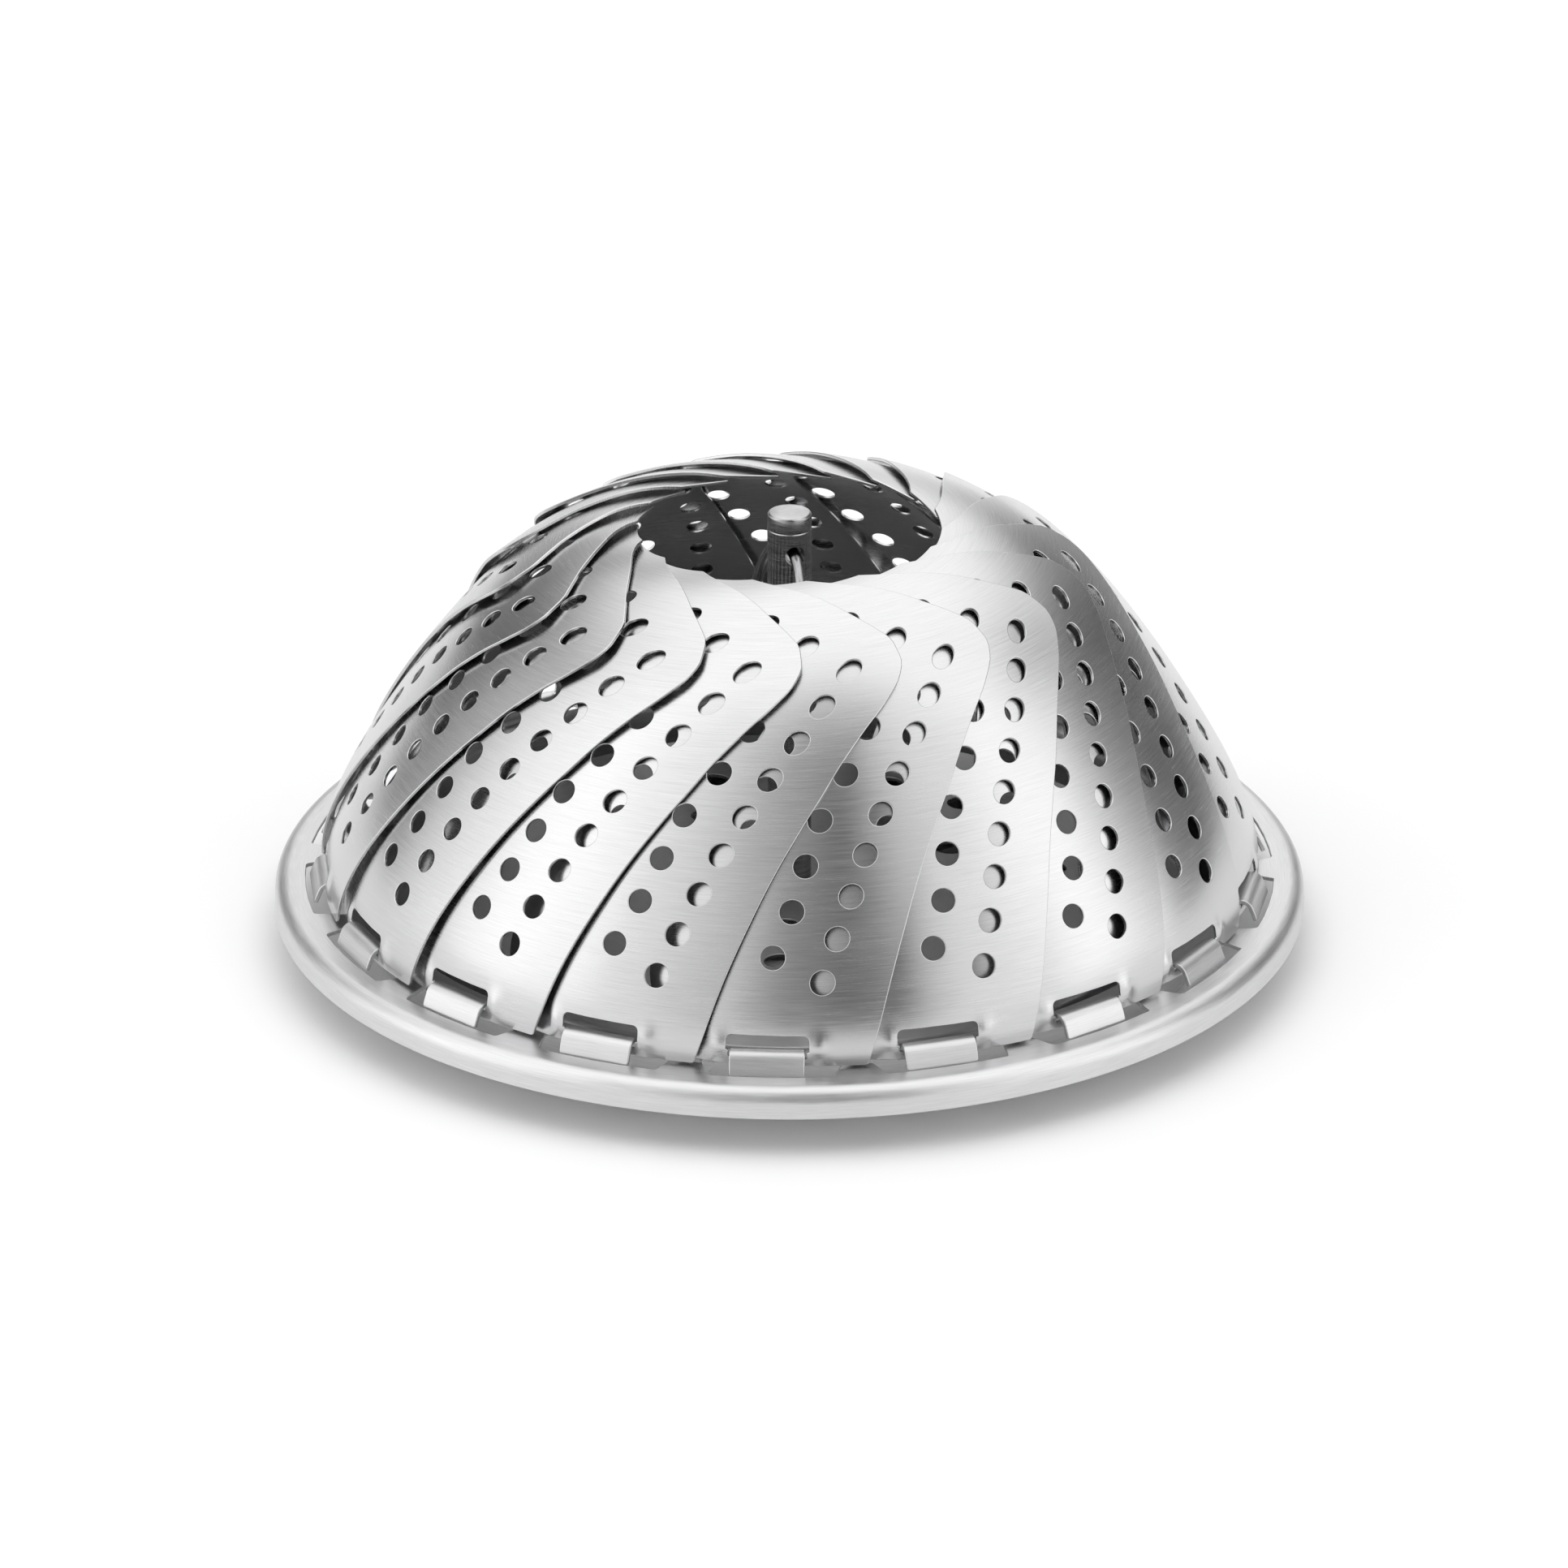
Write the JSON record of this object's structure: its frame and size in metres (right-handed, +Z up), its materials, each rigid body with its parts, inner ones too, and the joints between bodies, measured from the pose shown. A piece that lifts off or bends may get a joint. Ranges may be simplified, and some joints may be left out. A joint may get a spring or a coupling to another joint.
{
  "type": "folding steamer basket",
  "caption": "Round folding steamer basket in perforated stainless sheet: overlapping hinged leaves on a stamped base plate, centre post with lift ring, folding wire legs.",
  "frame": {"origin": "on the basket's axis, in the plane of the flat ring-shaped land under the base plate that it rests on", "axes": "+Z up along the centre post; leaf 1 and its hinge tab at -Y, +X to the right when leaf 1 faces the viewer"},
  "size_m": [0.14, 0.1398, 0.0597],
  "materials": {
    "pressed_plate": "stamped stainless sheet, satin, brushed round the rim",
    "leaf_sheet": "stainless sheet, fine brushing across the leaf, bright sheared edges",
    "turned_steel": "turned stainless rod, polished shank, satin end face",
    "bent_wire": "bright drawn stainless wire",
    "fastener": "plain stainless fastener"
  },
  "bodies": {
    "base": {"base_plate": "pressed_plate", "centre_post": "turned_steel", "post_washer": "fastener", "post_nut": "fastener", "leg_clip_1": "pressed_plate", "leg_clip_2": "pressed_plate", "leg_clip_3": "pressed_plate"},
    "leaf_01": {"petal_01": "leaf_sheet"},
    "leaf_02": {"petal_02": "leaf_sheet"},
    "leaf_03": {"petal_03": "leaf_sheet"},
    "leaf_04": {"petal_04": "leaf_sheet"},
    "leaf_05": {"petal_05": "leaf_sheet"},
    "leaf_06": {"petal_06": "leaf_sheet"},
    "leaf_07": {"petal_07": "leaf_sheet"},
    "leaf_08": {"petal_08": "leaf_sheet"},
    "leaf_09": {"petal_09": "leaf_sheet"},
    "leaf_10": {"petal_10": "leaf_sheet"},
    "leaf_11": {"petal_11": "leaf_sheet"},
    "leaf_12": {"petal_12": "leaf_sheet"},
    "leaf_13": {"petal_13": "leaf_sheet"},
    "leaf_14": {"petal_14": "leaf_sheet"},
    "leaf_15": {"petal_15": "leaf_sheet"},
    "leaf_16": {"petal_16": "leaf_sheet"},
    "leaf_17": {"petal_17": "leaf_sheet"},
    "leaf_18": {"petal_18": "leaf_sheet"},
    "leg_body_1": {"leg_1": "bent_wire"},
    "leg_body_2": {"leg_2": "bent_wire"},
    "leg_body_3": {"leg_3": "bent_wire"},
    "ring": {"lift_ring": "bent_wire"}
  },
  "joints": [
    {"name": "leaf_hinge_01", "type": "hinge", "parent": "base", "child": "leaf_01", "pos_m": [0, -0.0628, 0.00975], "axis": [1, 0, 0], "range_deg": [0, 98]},
    {"name": "leaf_hinge_02", "type": "hinge", "parent": "base", "child": "leaf_02", "pos_m": [0.02148, -0.05901, 0.00975], "axis": [0.9397, 0.342, 0], "range_deg": [0, 98]},
    {"name": "leaf_hinge_03", "type": "hinge", "parent": "base", "child": "leaf_03", "pos_m": [0.04037, -0.04811, 0.00975], "axis": [0.766, 0.6428, 0], "range_deg": [0, 98]},
    {"name": "leaf_hinge_04", "type": "hinge", "parent": "base", "child": "leaf_04", "pos_m": [0.05439, -0.0314, 0.00975], "axis": [0.5, 0.866, 0], "range_deg": [0, 98]},
    {"name": "leaf_hinge_05", "type": "hinge", "parent": "base", "child": "leaf_05", "pos_m": [0.06185, -0.0109, 0.00975], "axis": [0.1736, 0.9848, 0], "range_deg": [0, 98]},
    {"name": "leaf_hinge_06", "type": "hinge", "parent": "base", "child": "leaf_06", "pos_m": [0.06185, 0.0109, 0.00975], "axis": [-0.1736, 0.9848, 0], "range_deg": [0, 98]},
    {"name": "leaf_hinge_07", "type": "hinge", "parent": "base", "child": "leaf_07", "pos_m": [0.05439, 0.0314, 0.00975], "axis": [-0.5, 0.866, 0], "range_deg": [0, 98]},
    {"name": "leaf_hinge_08", "type": "hinge", "parent": "base", "child": "leaf_08", "pos_m": [0.04037, 0.04811, 0.00975], "axis": [-0.766, 0.6428, 0], "range_deg": [0, 98]},
    {"name": "leaf_hinge_09", "type": "hinge", "parent": "base", "child": "leaf_09", "pos_m": [0.02148, 0.05901, 0.00975], "axis": [-0.9397, 0.342, 0], "range_deg": [0, 98]},
    {"name": "leaf_hinge_10", "type": "hinge", "parent": "base", "child": "leaf_10", "pos_m": [0, 0.0628, 0.00975], "axis": [-1, 0, 0], "range_deg": [0, 98]},
    {"name": "leaf_hinge_11", "type": "hinge", "parent": "base", "child": "leaf_11", "pos_m": [-0.02148, 0.05901, 0.00975], "axis": [-0.9397, -0.342, 0], "range_deg": [0, 98]},
    {"name": "leaf_hinge_12", "type": "hinge", "parent": "base", "child": "leaf_12", "pos_m": [-0.04037, 0.04811, 0.00975], "axis": [-0.766, -0.6428, 0], "range_deg": [0, 98]},
    {"name": "leaf_hinge_13", "type": "hinge", "parent": "base", "child": "leaf_13", "pos_m": [-0.05439, 0.0314, 0.00975], "axis": [-0.5, -0.866, 0], "range_deg": [0, 98]},
    {"name": "leaf_hinge_14", "type": "hinge", "parent": "base", "child": "leaf_14", "pos_m": [-0.06185, 0.0109, 0.00975], "axis": [-0.1736, -0.9848, 0], "range_deg": [0, 98]},
    {"name": "leaf_hinge_15", "type": "hinge", "parent": "base", "child": "leaf_15", "pos_m": [-0.06185, -0.0109, 0.00975], "axis": [0.1736, -0.9848, 0], "range_deg": [0, 98]},
    {"name": "leaf_hinge_16", "type": "hinge", "parent": "base", "child": "leaf_16", "pos_m": [-0.05439, -0.0314, 0.00975], "axis": [0.5, -0.866, 0], "range_deg": [0, 98]},
    {"name": "leaf_hinge_17", "type": "hinge", "parent": "base", "child": "leaf_17", "pos_m": [-0.04037, -0.04811, 0.00975], "axis": [0.766, -0.6428, 0], "range_deg": [0, 98]},
    {"name": "leaf_hinge_18", "type": "hinge", "parent": "base", "child": "leaf_18", "pos_m": [-0.02148, -0.05901, 0.00975], "axis": [0.9397, -0.342, 0], "range_deg": [0, 98]},
    {"name": "leg_hinge_1", "type": "hinge", "parent": "base", "child": "leg_body_1", "pos_m": [0, -0.0465, 0.0034], "axis": [-1, 0, 0], "range_deg": [0, 105]},
    {"name": "leg_hinge_2", "type": "hinge", "parent": "base", "child": "leg_body_2", "pos_m": [0.04027, 0.02325, 0.0034], "axis": [0.5, -0.866, 0], "range_deg": [0, 105]},
    {"name": "leg_hinge_3", "type": "hinge", "parent": "base", "child": "leg_body_3", "pos_m": [-0.04027, 0.02325, 0.0034], "axis": [0.5, 0.866, 0], "range_deg": [0, 105]},
    {"name": "ring_swing", "type": "hinge", "parent": "base", "child": "ring", "pos_m": [0, 0, 0.0544], "axis": [-0.319, 0.9478, 0], "range_deg": [0, 334]}
  ],
  "couplings": [
    {"joint": "leaf_hinge_02", "follows": "leaf_hinge_01", "ratio": 1},
    {"joint": "leaf_hinge_03", "follows": "leaf_hinge_01", "ratio": 1},
    {"joint": "leaf_hinge_04", "follows": "leaf_hinge_01", "ratio": 1},
    {"joint": "leaf_hinge_05", "follows": "leaf_hinge_01", "ratio": 1},
    {"joint": "leaf_hinge_06", "follows": "leaf_hinge_01", "ratio": 1},
    {"joint": "leaf_hinge_07", "follows": "leaf_hinge_01", "ratio": 1},
    {"joint": "leaf_hinge_08", "follows": "leaf_hinge_01", "ratio": 1},
    {"joint": "leaf_hinge_09", "follows": "leaf_hinge_01", "ratio": 1},
    {"joint": "leaf_hinge_10", "follows": "leaf_hinge_01", "ratio": 1},
    {"joint": "leaf_hinge_11", "follows": "leaf_hinge_01", "ratio": 1},
    {"joint": "leaf_hinge_12", "follows": "leaf_hinge_01", "ratio": 1},
    {"joint": "leaf_hinge_13", "follows": "leaf_hinge_01", "ratio": 1},
    {"joint": "leaf_hinge_14", "follows": "leaf_hinge_01", "ratio": 1},
    {"joint": "leaf_hinge_15", "follows": "leaf_hinge_01", "ratio": 1},
    {"joint": "leaf_hinge_16", "follows": "leaf_hinge_01", "ratio": 1},
    {"joint": "leaf_hinge_17", "follows": "leaf_hinge_01", "ratio": 1},
    {"joint": "leaf_hinge_18", "follows": "leaf_hinge_01", "ratio": 1}
  ]
}
